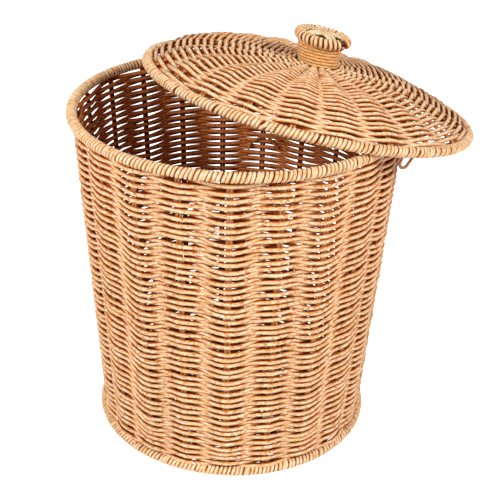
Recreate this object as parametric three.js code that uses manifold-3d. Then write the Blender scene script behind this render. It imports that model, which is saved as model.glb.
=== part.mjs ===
// Round tapered waste basket, woven from plastic cane over doubled stakes, with a lift-off lid.
// Millimetres, +Z up. The origin is the middle of the base, on the floor.
// The lid is shown slid aside and tipped, resting on the rim in three places.

import Module from 'manifold-3d';
import * as THREE from 'three';
import { mergeVertices } from 'three/addons/utils/BufferGeometryUtils.js';

const wasm = await Module();
wasm.setup();

// Cane and fits
const weaverSize = 2.8;          // strand that is woven round the stakes
const stakeSize = 2.4;           // each of the two rods of a stake
const stakeSpacing = 2.8;        // centre to centre of the two rods
const stakeCount = 21;           // an odd number, so that one weaver changes side on each round
const clearance = 0.3;           // between pieces that touch
const hoopSize = 3.8;            // wire inside the rim, foot and lid edge
const slotCover = 0.9;           // cane over a stake, between two courses that pass outside it

// Basket body
const bodyHeight = 288;          // floor to the top of the rim
const rimRadius = 140;           // outside of the rim
const rimThickness = 9.2;
const wallFootRadius = 111.3;    // line of the stakes, drawn down to the floor
const wallTopRadius = 131.5;     // line of the stakes at the underside of the rim
const rimGap = 5;                // open band between the top row and the rim
const rimSplay = 0.9;            // how far each rod leaves its partner on the way to the rim
const footThickness = 8.6;
const footBendRadius = 9.3;      // bend of the stakes where the wall turns into the base
const buttonRadius = 19;         // coil in the middle of the base
const buttonRise = 1.2;          // its crown above the base weave
const basketStakeAngle = 10.8;   // degrees from +X to the first stake

// Lid, about the middle of its own hoop
const lidRadius = 141.5;         // outside of the lid edge
const lidThickness = 8.9;
const domeRise = 21.8;           // middle of the dome over its edge
const domeEdgeRise = 2;          // edge of the dome over the hoop
const domeFullness = 4.5;        // 2 is a parabola, higher is flatter on top
const domeEdgeGap = 1.1;         // between the weave and the lid binding
const lidStakeAngle = 3.8;
const loopPastCrossing = 39.5;   // along the edge, from where it crosses the rim to the small loop
const loopWidth = 8.6;           // between its two legs
const loopDrop = 7;              // from the underside of the edge to its lowest point

// Knob
const postRadius = 15.2;
const postFlangeRadius = 26;
const postFlangeThickness = 2.8;
const neckStrand = 1.9;          // winding round the post
const neckTurnGap = 0.45;        // least gap between two turns
const neckSink = 1;              // first turn below the top of the weave
const tuckBend = 2;              // bend where an end of the winding turns into the post
const tuckDepth = 2.5;           // straight run inside the post
const knobRadius = 24.25;        // outside of the ring on top
const knobThickness = 9.5;
const knobHoopSize = 3.6;
const knobHeight = 49;           // middle of the ring over the lid hoop
const latticeStrand = 2.4;
const latticeRise = 1.6;         // lowest pair of the lattice over the middle of the ring
const latticeStep = 0.5;         // each pair over the one it crosses
const latticeSpread = 3.4;       // half the distance between two parallel strands

// How the lid lies: slid towards a heading, then tipped until it rests
const lidSlide = 66.5;
const lidHeading = 29;           // degrees from +X

// Facets
const ringSides = 8;
const hoopSides = 4;
const ringSteps = 2 * stakeCount;
const rodSides = 4;
const turnSteps = 20;
const turnSides = 5;
const knobSteps = 20;
const wallCourses = 66;          // three stand for four rows of the real weave
const lidCourses = 30;

// Sizes that follow from the ones above
const weaveThickness = stakeSize + 2 * weaverSize;
const basePlane = footThickness / 2;
const rimCentreRadius = rimRadius - rimThickness / 2;
const rimCentreHeight = bodyHeight - rimThickness / 2;
const weaveTop = bodyHeight - rimThickness - rimGap;
const lidCentreRadius = lidRadius - lidThickness / 2;
const domeEdgeRadius = lidCentreRadius - lidThickness / 2 - domeEdgeGap;
const domeTopRadius = postRadius + neckStrand + 3 * clearance;
const slotHalfThickness = stakeSize / 2 + clearance;
const slotHalfWidth = stakeSpacing / 2 + stakeSize / 2 + clearance;
const slotEndRadius = 1.15 * stakeCount * slotHalfWidth / Math.PI;
const stakeStartRadius = slotEndRadius + (stakeSpacing + stakeSize) / 2 + clearance;
const knobCentreRadius = knobRadius - knobThickness / 2;
const neckCentreRadius = postRadius + clearance + neckStrand / 2;

const radians = THREE.MathUtils.degToRad;

const materials = {
  weave: new THREE.MeshStandardMaterial({ color: 0xe3ae6c, roughness: 0.5, metalness: 0, flatShading: true }),
  stake: new THREE.MeshStandardMaterial({ color: 0xc98a4e, roughness: 0.55, metalness: 0 }),
  binding: new THREE.MeshStandardMaterial({ color: 0xedbf80, roughness: 0.45, metalness: 0 }),
  hoop: new THREE.MeshStandardMaterial({ color: 0x8c8c8a, roughness: 0.4, metalness: 1 }),
  post: new THREE.MeshStandardMaterial({ color: 0xb97f49, roughness: 0.6, metalness: 0 }),
};

// A path that bends only at its own points, so a swept piece has one ring of points at each.
// With a side given, the section keeps one edge along it.
class BentPath extends THREE.Curve {
  constructor(points, sides = null) {
    super();
    this.points = points;
    this.sides = sides;
  }

  getUtoTmapping(u) {
    return u;
  }

  getPoint(t, target = new THREE.Vector3()) {
    const place = t * (this.points.length - 1);
    const index = Math.min(Math.floor(place + 1e-9), this.points.length - 2);
    return target.lerpVectors(this.points[index], this.points[index + 1], place - index);
  }

  getTangent(t, target = new THREE.Vector3()) {
    const last = this.points.length - 1;
    const index = Math.round(t * last);
    const before = this.points[Math.max(index - 1, 0)];
    const here = this.points[index];
    const after = this.points[Math.min(index + 1, last)];
    const arriving = here.clone().sub(before).normalize();
    const leaving = after.clone().sub(here).normalize();
    return target.addVectors(arriving, leaving).normalize();
  }

  computeFrenetFrames(segments, closed) {
    if (!this.sides) {
      return super.computeFrenetFrames(segments, closed);
    }
    const tangents = this.points.map((point, index) => this.getTangent(index / segments));
    const normals = this.sides;
    const binormals = tangents.map((tangent, index) => tangent.clone().cross(normals[index]).normalize());
    return { tangents, normals, binormals };
  }
}

// A regular outline whose flats lie on the circle, so that flats stand at 0, 90, 180 and 270 degrees.
function polygon(radius, sides) {
  const corner = radius / Math.cos(Math.PI / sides);
  const points = [];
  for (let index = 0; index < sides; index += 1) {
    const angle = 2 * Math.PI * (index + 0.5) / sides;
    points.push(new THREE.Vector2(corner * Math.cos(angle), corner * Math.sin(angle)));
  }
  return points;
}

// A shape swept along the points of a path
function sweep(shape, points, sides = null) {
  return new THREE.ExtrudeGeometry(shape, {
    steps: points.length - 1,
    extrudePath: new BentPath(points, sides),
  });
}

// A round strand along a path. Its corners lie on its true radius.
function strand(points, size, sides = rodSides) {
  const corners = polygon(size / 2 * Math.cos(Math.PI / sides), sides);
  return sweep(new THREE.Shape(corners), points);
}

// A profile turned about Z, with its first point at +X
function turned(profile, segments) {
  const geometry = new THREE.LatheGeometry(profile, segments);
  geometry.rotateX(Math.PI / 2);
  geometry.rotateZ(Math.PI / 2);
  return geometry;
}

function toSolid(geometry) {
  const bare = geometry.clone();
  bare.deleteAttribute('normal');
  bare.deleteAttribute('uv');
  const merged = mergeVertices(bare, 1e-4);
  const positions = merged.getAttribute('position');
  const vertProperties = new Float32Array(positions.array);
  const triVerts = new Uint32Array(merged.getIndex().array).filter(() => true);
  const solid = new wasm.Manifold(new wasm.Mesh({ numProp: 3, vertProperties, triVerts }));
  if (solid.volume() > 0) {
    return solid;
  }
  for (let index = 0; index < triVerts.length; index += 3) {
    const second = triVerts[index + 1];
    triVerts[index + 1] = triVerts[index + 2];
    triVerts[index + 2] = second;
  }
  return new wasm.Manifold(new wasm.Mesh({ numProp: 3, vertProperties, triVerts }));
}

function toGeometry(solid) {
  const mesh = solid.getMesh();
  const geometry = new THREE.BufferGeometry();
  geometry.setAttribute('position', new THREE.BufferAttribute(new Float32Array(mesh.vertProperties), 3));
  geometry.setIndex(new THREE.BufferAttribute(new Uint32Array(mesh.triVerts), 1));
  geometry.computeVertexNormals();
  return geometry;
}

function joined(solids) {
  return solids.reduce((whole, piece) => whole.add(piece));
}

function addPiece(group, name, solid, material) {
  const mesh = new THREE.Mesh(toGeometry(solid), material);
  mesh.name = name;
  group.add(mesh);
}

// A point given by its radius, its distance aside and its height, turned to an azimuth
function around(radius, aside, height, azimuth) {
  const cos = Math.cos(azimuth);
  const sin = Math.sin(azimuth);
  return new THREE.Vector3(radius * cos - aside * sin, radius * sin + aside * cos, height);
}

// The points of a full circle, with the first and last drawn back by half a gap.
// It starts half-way between two stakes.
function circlePoints(radius, height, steps, gap) {
  const points = [];
  const sides = [];
  for (let step = 0; step <= steps; step += 1) {
    let azimuth = 2 * Math.PI * step / steps + Math.PI / stakeCount;
    if (step === 0) {
      azimuth += gap / 2 / radius;
    }
    if (step === steps) {
      azimuth -= gap / 2 / radius;
    }
    points.push(around(radius, 0, height, azimuth));
    sides.push(around(1, 0, 0, azimuth));
  }
  return { points, sides };
}

// A hoop of wire. It is a closed ring whose corners stand where those of its binding do.
function hoop(radius, height, size, steps) {
  const geometry = new THREE.TorusGeometry(radius, size / 2, hoopSides, steps);
  geometry.rotateZ(Math.PI / stakeCount);
  geometry.translate(0, 0, height);
  return toSolid(geometry);
}

// The cane bound round a hoop, as a sleeve that starts and ends at a narrow gap
function binding(radius, height, thickness, hoopInside, steps) {
  const outline = new THREE.Shape(polygon(thickness / 2, ringSides));
  const bore = polygon(hoopInside / 2 + clearance, hoopSides);
  outline.holes.push(new THREE.Path(bore.reverse()));
  const { points, sides } = circlePoints(radius, height, steps, clearance);
  return toSolid(sweep(outline, points, sides));
}

// How far a binding reaches from its middle line, at the corners of its outline
function bindingReach(thickness) {
  return thickness / 2 / Math.cos(Math.PI / ringSides);
}

// The last point of a line that runs towards the middle of a binding and stops short of it
function bindingEnd(from, centre, thickness) {
  const distance = Math.hypot(centre.r - from.r, centre.z - from.z);
  const share = 1 - (bindingReach(thickness) + clearance) / distance;
  return {
    r: THREE.MathUtils.lerp(from.r, centre.r, share),
    z: THREE.MathUtils.lerp(from.z, centre.z, share),
  };
}

// The space that a binding needs, to shape the ends of what meets it
function bindingSpace(radius, height, thickness, steps) {
  const outline = polygon(thickness / 2 + clearance, ringSides);
  outline.push(outline[0]);
  const centre = new THREE.Vector2(radius, height);
  const geometry = turned(outline.map((point) => point.clone().add(centre)), steps);
  geometry.rotateZ(Math.PI / stakeCount);
  return toSolid(geometry);
}

// A place on a line by its share of the line's length, with the normal there
function placeAt(line, share) {
  const steps = line.slice(1).map((place, index) => Math.hypot(place.r - line[index].r, place.z - line[index].z));
  const length = steps.reduce((total, step) => total + step);
  let rest = share * length;
  let index = 0;
  while (index < steps.length - 1 && rest > steps[index]) {
    rest -= steps[index];
    index += 1;
  }
  const part = rest / steps[index];
  const between = (key) => THREE.MathUtils.lerp(line[index][key], line[index + 1][key], part);
  return { r: between('r'), z: between('z'), nr: between('nr'), nz: between('nz') };
}

// The share of its length at which each place of a line lies
function placeShares(line) {
  const shares = [0];
  for (let index = 1; index < line.length; index += 1) {
    const step = Math.hypot(line[index].r - line[index - 1].r, line[index].z - line[index - 1].z);
    shares.push(shares[index - 1] + step);
  }
  return shares.map((share) => share / shares[line.length - 1]);
}

// The outside of the weave along one stake. Courses pass outside and inside the stake by turns, and
// each stake has them a little further along, so that one weaver climbs all the way round.
function coursesAtStake(courses, stakeIndex) {
  const crest = weaveThickness / 2;
  const places = [{ share: 0, depth: crest, hollow: false }];
  for (let course = 0; course < courses - 1; course += 1) {
    const share = (course + 0.5 + stakeIndex / stakeCount) / courses;
    const hollow = (course + stakeIndex) % 2 === 1;
    places.push({ share, depth: hollow ? slotHalfThickness + slotCover : crest, hollow });
  }
  return [...places, { share: 1, depth: crest, hollow: false }];
}

// Triangles between two neighbouring rows of points, which lie at rising stations.
// A row steps past a hollow point as soon as it can, so that the edges run from crest to crest.
function joinRows(left, right, faces) {
  let one = 0;
  let other = 0;
  while (one < left.length - 1 || other < right.length - 1) {
    const leftNext = one < left.length - 1 ? left[one + 1].station : Infinity;
    const rightNext = other < right.length - 1 ? right[other + 1].station : Infinity;
    const oneIsHollow = left[one].hollow !== right[other].hollow;
    const bothCanStep = Number.isFinite(leftNext) && Number.isFinite(rightNext);
    const stepLeft = oneIsHollow && bothCanStep ? left[one].hollow : leftNext <= rightNext;
    if (stepLeft) {
      faces.push(left[one].vertex, right[other].vertex, left[one + 1].vertex);
      one += 1;
    } else {
      faces.push(left[one].vertex, right[other].vertex, right[other + 1].vertex);
      other += 1;
    }
  }
}

// A woven wall along a middle line, given from one edge to the other, with a unit normal at each place.
// It is full thickness at the stakes and one strand thick between them. With no courses it is smooth.
function wovenShell(line, courses) {
  const shares = placeShares(line);
  const vertices = [];
  const faces = [];
  const addRow = (azimuth, places) => places.map(({ share, depth, hollow }) => {
    const place = placeAt(line, share);
    vertices.push(around(place.r + depth * place.nr, 0, place.z + depth * place.nz, azimuth));
    return { vertex: vertices.length - 1, station: share, hollow };
  });
  const smoothRows = (side) => Array.from({ length: 2 * stakeCount }, (_, index) => {
    const depth = side * (index % 2 === 0 ? weaveThickness : weaverSize) / 2;
    return addRow(Math.PI * index / stakeCount, shares.map((share) => ({ share, depth, hollow: false })));
  });
  const wovenRows = () => Array.from({ length: stakeCount }, (_, index) => (
    addRow(stakeAzimuth(index), coursesAtStake(courses, index))
  ));
  const edge = (rows, end) => {
    const points = rows.map((row, index) => ({ ...row.at(end), station: index / rows.length }));
    return [...points, { ...points[0], station: 1 }];
  };
  const outside = courses > 0 ? wovenRows() : smoothRows(1);
  const inside = smoothRows(-1);
  outside.forEach((row, index) => joinRows(row, outside[(index + 1) % outside.length], faces));
  inside.forEach((row, index) => joinRows(inside[(index + 1) % inside.length], row, faces));
  joinRows(edge(inside, -1), edge(outside, -1), faces);
  joinRows(edge(outside, 0), edge(inside, 0), faces);
  const geometry = new THREE.BufferGeometry().setFromPoints(vertices);
  geometry.setIndex(faces);
  return toSolid(geometry);
}

// The slot that a stake needs through a woven wall, along points given by radius and height
function stakeSlot(line, azimuth) {
  const outline = new THREE.Shape([
    new THREE.Vector2(slotHalfWidth, -slotHalfThickness),
    new THREE.Vector2(slotHalfWidth, slotHalfThickness),
    new THREE.Vector2(-slotHalfWidth, slotHalfThickness),
    new THREE.Vector2(-slotHalfWidth, -slotHalfThickness),
  ]);
  const points = line.map((place) => around(place.r, 0, place.z, azimuth));
  const sides = line.map(() => around(0, 1, 0, azimuth));
  return toSolid(sweep(outline, points, sides));
}

function stakeSlots(line) {
  return joined(Array.from({ length: stakeCount }, (_, index) => stakeSlot(line, stakeAzimuth(index))));
}

// A stake is one strand doubled: out along the line, back beside itself, with its bend at the inner end.
// The distance aside of each point of the line is given by a function of its index.
function stake(line, asideAt, azimuth) {
  const bendRadius = stakeSpacing / 2;
  const bendCentre = line[0].r;
  const leg = (side) => line.map((place, index) => around(place.r, side * asideAt(index), place.z, azimuth));
  const bend = [135, 225].map((turn) => around(
    bendCentre + bendRadius * Math.cos(radians(turn)),
    bendRadius * Math.sin(radians(turn)),
    line[0].z,
    azimuth,
  ));
  return toSolid(strand([...leg(1).reverse(), ...bend, ...leg(-1)], stakeSize));
}

function stakeAzimuth(index) {
  return 2 * Math.PI * index / stakeCount;
}

function pieceName(stem, index) {
  return `${stem}_${String(index + 1).padStart(2, '0')}`;
}

// Basket body

function wallRadius(height) {
  const top = bodyHeight - rimThickness;
  return THREE.MathUtils.mapLinear(height, 0, top, wallFootRadius, wallTopRadius);
}

// The bend at the foot of a stake, between the level base and the leaning wall
function footBend() {
  const lean = Math.atan2(wallTopRadius - wallFootRadius, bodyHeight - rimThickness);
  const corner = wallRadius(basePlane);
  const tangent = footBendRadius * Math.tan((Math.PI / 2 - lean) / 2);
  const centre = { r: corner - tangent, z: basePlane + footBendRadius };
  const steps = 2;
  const line = [];
  for (let step = 0; step <= steps; step += 1) {
    const angle = THREE.MathUtils.lerp(-Math.PI / 2, -lean, step / steps);
    line.push({
      r: centre.r + footBendRadius * Math.cos(angle),
      z: centre.z + footBendRadius * Math.sin(angle),
    });
  }
  return { centre, line, lean };
}

// The foot hoop nests outside the bend of the stakes
function footCentreRadius(bend) {
  const reach = footBendRadius + stakeSize / 2 + clearance + bindingReach(footThickness);
  return bend.centre.r + Math.sqrt(reach ** 2 - (bend.centre.z - basePlane) ** 2);
}

function basketBody() {
  const body = new THREE.Group();
  body.rotation.z = radians(basketStakeAngle);

  const bend = footBend();
  const footRadius = footCentreRadius(bend);
  const rimCentre = { r: rimCentreRadius, z: rimCentreHeight };
  addPiece(body, 'rim_hoop', hoop(rimCentre.r, rimCentre.z, hoopSize, ringSteps), materials.hoop);
  addPiece(
    body,
    'rim_binding',
    binding(rimCentre.r, rimCentre.z, rimThickness, hoopSize, ringSteps),
    materials.binding,
  );
  addPiece(body, 'foot_hoop', hoop(footRadius, basePlane, hoopSize, ringSteps), materials.hoop);
  addPiece(
    body,
    'foot_binding',
    binding(footRadius, basePlane, footThickness, hoopSize, ringSteps),
    materials.binding,
  );

  const wallTop = { r: wallRadius(weaveTop), z: weaveTop };
  const stakeLine = [
    { r: stakeStartRadius, z: basePlane },
    ...bend.line,
    wallTop,
    bindingEnd(wallTop, rimCentre, rimThickness),
  ];
  const asideAt = (index) => stakeSpacing / 2 + (index === stakeLine.length - 1 ? rimSplay : 0);
  for (let index = 0; index < stakeCount; index += 1) {
    const doubled = stake(stakeLine, asideAt, stakeAzimuth(index));
    addPiece(body, pieceName('side_stake', index), doubled, materials.stake);
  }

  const weaveBottom = bend.line[bend.line.length - 1].z + clearance;
  const normal = { nr: Math.cos(bend.lean), nz: -Math.sin(bend.lean) };
  const wallLine = [weaveBottom, weaveTop].map((z) => ({ r: wallRadius(z), z, ...normal }));
  const overrun = weaverSize;
  const wallSlotLine = [weaveBottom - overrun, weaveTop + overrun].map((z) => ({ r: wallRadius(z), z }));
  const baseEdge = bend.line[0].r - clearance;
  const baseLine = [buttonRadius + clearance, baseEdge].map((r) => ({ r, z: basePlane, nr: 0, nz: 1 }));
  const baseSlotLine = [slotEndRadius, baseEdge + overrun].map((r) => ({ r, z: basePlane }));
  const wall = wovenShell(wallLine, wallCourses).subtract(stakeSlots(wallSlotLine));
  addPiece(body, 'side_weave', wall, materials.weave);
  addPiece(body, 'base_weave', wovenShell(baseLine, 0).subtract(stakeSlots(baseSlotLine)), materials.weave);
  addPiece(body, 'base_button', baseButton(), materials.weave);
  return body;
}

// The coil in the middle of the base: flat under the floor side, with a ridge for each of its turns above
function baseButton() {
  const ridgeCount = 2;
  const ridgeWidth = buttonRadius / ridgeCount;
  const ridgeHeight = weaverSize / 4;
  const top = basePlane + weaveThickness / 2;
  const profile = [new THREE.Vector2(0, 0), new THREE.Vector2(buttonRadius, 0)];
  for (let ridge = ridgeCount; ridge > 0; ridge -= 1) {
    const crown = buttonRise * (1 - ((ridge - 0.5) / ridgeCount) ** 2);
    profile.push(new THREE.Vector2(ridge * ridgeWidth, top + crown - ridgeHeight));
    profile.push(new THREE.Vector2((ridge - 0.5) * ridgeWidth, top + crown));
  }
  profile.push(new THREE.Vector2(0, top + buttonRise - ridgeHeight));
  return toSolid(turned(profile, turnSteps));
}

// Lid, about the middle of its own hoop

function domeHeight(radius) {
  return domeEdgeRise + domeRise * (1 - (radius / domeEdgeRadius) ** domeFullness);
}

function domePlace(radius) {
  const slope = -domeRise * domeFullness * (radius / domeEdgeRadius) ** (domeFullness - 1) / domeEdgeRadius;
  const length = Math.hypot(1, slope);
  return { r: radius, z: domeHeight(radius), nr: -slope / length, nz: 1 / length };
}

// Radii that step more finely where the dome curves most
function domeRadii(from, to, steps) {
  const radii = [];
  for (let step = 0; step <= steps; step += 1) {
    radii.push(from + (to - from) * Math.sin(Math.PI / 2 * step / steps));
  }
  return radii;
}

// One strand wound round the neck. Each end bends inwards and runs straight into the post.
function neckWinding() {
  const start = domeHeight(domeTopRadius) + weaveThickness / 2 - neckSink;
  const reach = bindingReach(knobThickness) + clearance + neckStrand / 2;
  const finish = knobHeight - Math.sqrt(reach ** 2 - (knobCentreRadius - neckCentreRadius) ** 2);
  const turnCount = Math.floor((finish - start) / (neckStrand + neckTurnGap));
  const steps = turnCount * turnSteps;
  const turns = [];
  for (let step = 0; step <= steps; step += 1) {
    const height = THREE.MathUtils.lerp(start, finish, step / steps);
    turns.push(around(neckCentreRadius, 0, height, 2 * Math.PI * step / turnSteps));
  }
  const tuck = (height, direction, extra) => {
    const bend = [30, 60, 90].map((turn) => around(
      neckCentreRadius - tuckBend * (1 - Math.cos(radians(turn))),
      direction * tuckBend * Math.sin(radians(turn)),
      height,
      0,
    ));
    const end = neckCentreRadius - tuckBend - tuckDepth - extra;
    return [...bend, around(end, direction * tuckBend, height, 0)];
  };
  const points = [...tuck(start, -1, 0).reverse(), ...turns, ...tuck(finish, 1, 0)];
  const pockets = [tuck(start, -1, clearance), tuck(finish, 1, clearance)];
  return { points, pockets };
}

// The least distance between two turns of the winding, surface to surface
function leastTurnGap(points) {
  let least = Infinity;
  for (let one = 0; one < points.length; one += 1) {
    for (let other = one + turnSteps / 2; other < points.length; other += 1) {
      least = Math.min(least, points[one].distanceTo(points[other]) - neckStrand);
    }
  }
  return least;
}

// The spool of gathered stake ends: a flange under the weave, the neck, and a shoulder under the ring
function knobPost(pockets) {
  const flangeTop = domeHeight(domeTopRadius) - weaveThickness / 2 - clearance;
  const ringReach = bindingReach(knobThickness) + clearance;
  const shoulder = knobHeight - Math.sqrt(ringReach ** 2 - (knobCentreRadius - postRadius) ** 2);
  const crownRadius = postRadius * 0.6;
  const crownTop = knobHeight + latticeRise - latticeStrand / 2 - clearance;
  const profile = [
    new THREE.Vector2(0, flangeTop - postFlangeThickness),
    new THREE.Vector2(postFlangeRadius, flangeTop - postFlangeThickness),
    new THREE.Vector2(postFlangeRadius, flangeTop),
    new THREE.Vector2(postRadius, flangeTop),
    new THREE.Vector2(postRadius, shoulder),
    new THREE.Vector2(crownRadius, shoulder + weaverSize / 2),
    new THREE.Vector2(crownRadius, crownTop),
    new THREE.Vector2(0, crownTop),
  ];
  const bores = pockets.map((points) => toSolid(strand(points, neckStrand + 2 * clearance, turnSides)));
  return toSolid(turned(profile, turnSteps)).subtract(joined(bores));
}

// Three pairs of strands crossed over the top of the ring, with their ends shaped to its binding
function knobLattice(ringSpace) {
  const strands = [];
  for (let pair = 0; pair < 3; pair += 1) {
    const azimuth = Math.PI / 3 * pair;
    const height = knobHeight + latticeRise + latticeStep * pair;
    for (const aside of [-latticeSpread, latticeSpread]) {
      const ends = [-knobCentreRadius, knobCentreRadius].map((r) => around(r, aside, height, azimuth));
      strands.push(toSolid(strand(ends, latticeStrand)));
    }
  }
  return joined(strands).subtract(ringSpace);
}

// Where the edge of the lid crosses the rim, about the middle of the lid
function crossingAngle() {
  const squares = lidCentreRadius ** 2 + lidSlide ** 2 - rimCentreRadius ** 2;
  return radians(lidHeading) + Math.PI + Math.acos(squares / (2 * lidCentreRadius * lidSlide));
}

// A bend of strand under the edge of the lid, with both legs ending at the binding
function lidLoop(azimuth, edgeSpace) {
  const half = loopWidth / 2;
  const legHeight = -lidThickness / 2 - loopDrop + half + stakeSize / 2;
  const points = [around(lidCentreRadius, -half, 0, azimuth)];
  for (let step = 0; step <= 6; step += 1) {
    const turn = Math.PI + Math.PI * step / 6;
    const height = legHeight + half * Math.sin(turn);
    points.push(around(lidCentreRadius, half * Math.cos(turn), height, azimuth));
  }
  points.push(around(lidCentreRadius, half, 0, azimuth));
  return toSolid(strand(points, stakeSize)).subtract(edgeSpace);
}

function lid() {
  const whole = new THREE.Group();
  whole.rotation.z = radians(lidStakeAngle);

  const edgeCentre = { r: lidCentreRadius, z: 0 };
  addPiece(whole, 'lid_hoop', hoop(edgeCentre.r, 0, hoopSize, ringSteps), materials.hoop);
  addPiece(
    whole,
    'lid_binding',
    binding(edgeCentre.r, 0, lidThickness, hoopSize, ringSteps),
    materials.binding,
  );

  const domeLine = domeRadii(stakeStartRadius, domeEdgeRadius, 4).map(domePlace);
  const stakeLine = [...domeLine, bindingEnd(domeLine[domeLine.length - 1], edgeCentre, lidThickness)];
  for (let index = 0; index < stakeCount; index += 1) {
    const doubled = stake(stakeLine, () => stakeSpacing / 2, stakeAzimuth(index));
    addPiece(whole, pieceName('lid_stake', index), doubled, materials.stake);
  }

  const shellLine = domeRadii(domeTopRadius, domeEdgeRadius, 4).map(domePlace);
  const slotLine = [{ r: slotEndRadius, z: domeHeight(slotEndRadius) }, ...domeLine.slice(1), edgeCentre];
  const dome = wovenShell(shellLine, lidCourses).subtract(stakeSlots(slotLine));
  addPiece(whole, 'lid_weave', dome, materials.weave);

  const winding = neckWinding();
  console.log(`least gap between turns of knob_neck_winding: ${leastTurnGap(winding.points).toFixed(2)} mm`);
  addPiece(whole, 'knob_post', knobPost(winding.pockets), materials.post);
  addPiece(
    whole,
    'knob_neck_winding',
    toSolid(strand(winding.points, neckStrand, turnSides)),
    materials.binding,
  );
  const ringSpace = bindingSpace(knobCentreRadius, knobHeight, knobThickness, knobSteps);
  addPiece(whole, 'knob_hoop', hoop(knobCentreRadius, knobHeight, knobHoopSize, knobSteps), materials.hoop);
  addPiece(
    whole,
    'knob_binding',
    binding(knobCentreRadius, knobHeight, knobThickness, knobHoopSize, knobSteps),
    materials.binding,
  );
  addPiece(whole, 'knob_lattice', knobLattice(ringSpace), materials.binding);
  const loopAzimuth = crossingAngle() + loopPastCrossing / lidCentreRadius - radians(lidStakeAngle);
  const edgeSpace = bindingSpace(edgeCentre.r, 0, lidThickness, ringSteps);
  addPiece(whole, 'lid_loop', lidLoop(loopAzimuth, edgeSpace), materials.stake);
  return whole;
}

// How the lid rests on the rim

function restingPose(tilt, height) {
  const leaningAxis = around(0, 1, 0, radians(lidHeading));
  const position = around(lidSlide, 0, height, radians(lidHeading));
  const quaternion = new THREE.Quaternion().setFromAxisAngle(leaningAxis, tilt);
  return { position, quaternion };
}

function solidOf(group, name) {
  const mesh = group.getObjectByName(name);
  mesh.updateWorldMatrix(true, false);
  return toSolid(mesh.geometry.clone().applyMatrix4(mesh.matrixWorld));
}

// The lid, level and clear above the rim, tips and comes down in turn.
// Each move is smaller than the room left, and the moves stop when it lies a clearance from the rim
// under its edge and under its weave.
function settleLid(body, looseLid) {
  const rim = solidOf(body, 'rim_binding');
  const edge = solidOf(looseLid, 'lid_binding');
  const weave = solidOf(looseLid, 'lid_weave');
  const reach = 2 * lidThickness;
  const lever = lidSlide / 2 + rimCentreRadius;
  const roomUnder = (solid, pose) => {
    const matrix = new THREE.Matrix4().compose(pose.position, pose.quaternion, new THREE.Vector3(1, 1, 1));
    return solid.transform(matrix.elements).minGap(rim, reach) - clearance;
  };
  let tilt = 0;
  let height = rimCentreHeight + bindingReach(rimThickness) + bindingReach(lidThickness) + clearance;
  for (let round = 0; round < 40; round += 1) {
    tilt += roomUnder(weave, restingPose(tilt, height)) / lever;
    height -= roomUnder(edge, restingPose(tilt, height));
  }
  return { tilt, pose: restingPose(tilt, height) };
}

const basket = new THREE.Group();
basket.name = 'waste_basket';
const body = basketBody();
basket.add(body);

const looseLid = lid();
const rest = settleLid(body, looseLid);
const restingLid = new THREE.Group();
restingLid.position.copy(rest.pose.position);
restingLid.quaternion.copy(rest.pose.quaternion);
restingLid.add(looseLid);
basket.add(restingLid);

const restTilt = THREE.MathUtils.radToDeg(rest.tilt).toFixed(2);
console.log(`lid tilt ${restTilt} degrees, middle of its hoop at ${rest.pose.position.z.toFixed(1)} mm`);

export default basket;
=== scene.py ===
"""Looks of a round woven waste basket with a lift-off lid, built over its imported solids.

Every strand of cane is a real tube: the weavers go over one doubled stake and under the next in one
unbroken spiral, and the rim, foot, lid edge and knob are wound turn by turn. All lengths in the
dataclasses are in millimetres and become metres where a mesh is made.
"""

import logging
import math
from collections.abc import Callable, Iterable, Sequence
from dataclasses import dataclass, field
from enum import Enum
from functools import partial

import bpy
import numpy as np
from bpy.types import Material, Node, NodeSocket, NodeTree, Object
from mathutils import Matrix, Vector


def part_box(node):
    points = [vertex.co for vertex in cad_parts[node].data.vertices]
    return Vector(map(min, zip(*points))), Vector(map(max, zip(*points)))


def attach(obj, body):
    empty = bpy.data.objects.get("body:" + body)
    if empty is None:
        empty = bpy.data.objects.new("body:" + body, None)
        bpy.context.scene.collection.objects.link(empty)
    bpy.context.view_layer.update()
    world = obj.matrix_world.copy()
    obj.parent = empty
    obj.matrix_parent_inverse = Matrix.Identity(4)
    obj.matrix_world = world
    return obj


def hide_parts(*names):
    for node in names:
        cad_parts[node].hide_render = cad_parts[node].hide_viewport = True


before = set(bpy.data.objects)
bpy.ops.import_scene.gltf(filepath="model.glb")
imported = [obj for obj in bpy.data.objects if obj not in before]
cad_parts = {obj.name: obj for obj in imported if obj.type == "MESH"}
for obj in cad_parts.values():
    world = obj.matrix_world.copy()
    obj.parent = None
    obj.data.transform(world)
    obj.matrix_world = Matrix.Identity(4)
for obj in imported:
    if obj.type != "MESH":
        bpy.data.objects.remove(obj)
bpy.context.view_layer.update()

log = logging.getLogger("waste_basket")
MM = 0.001
FULL_TURN = 2 * math.pi
STAKES = 21
# How far a strand swings before its zigzag is rounded off over a stake.
STRAIGHTNESS = 0.97
# Rows of a weave whose last row stays as even as the others.
ENDLESS = 1000.0
# Noise keeps near its middle, and this stretches it to about -1 to 1.
NOISE_REACH = 2.6
STRAND_RUN = "strand_run"
STRAND_SIDE = "strand_side"
STRAND_SWING = "strand_swing"
STRAND_SHADE = "strand_shade"
# Inputs that set how much painted shade each strand gets, and where.
SHADES = ("Seam", "Tuck", "Inside", "Inner Side")
# Inputs given in millimetres.
LENGTHS = {"Pitch", "Swing", "Swing Spread", "Bunch", "Droop", "Waver", "Width", "Depth"}
LENGTHS |= {"Hoop Radius", "Hoop Height", "Coil Radius", "Opening", "Lean"}
# The path of a winding, which goes round a hoop of its own.
AXIS = (Vector(), Vector((0, 0, MM)))


class Body(Enum):
    """The two bodies that pieces ride on."""

    BASKET = "basket"
    LID = "lid"


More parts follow.
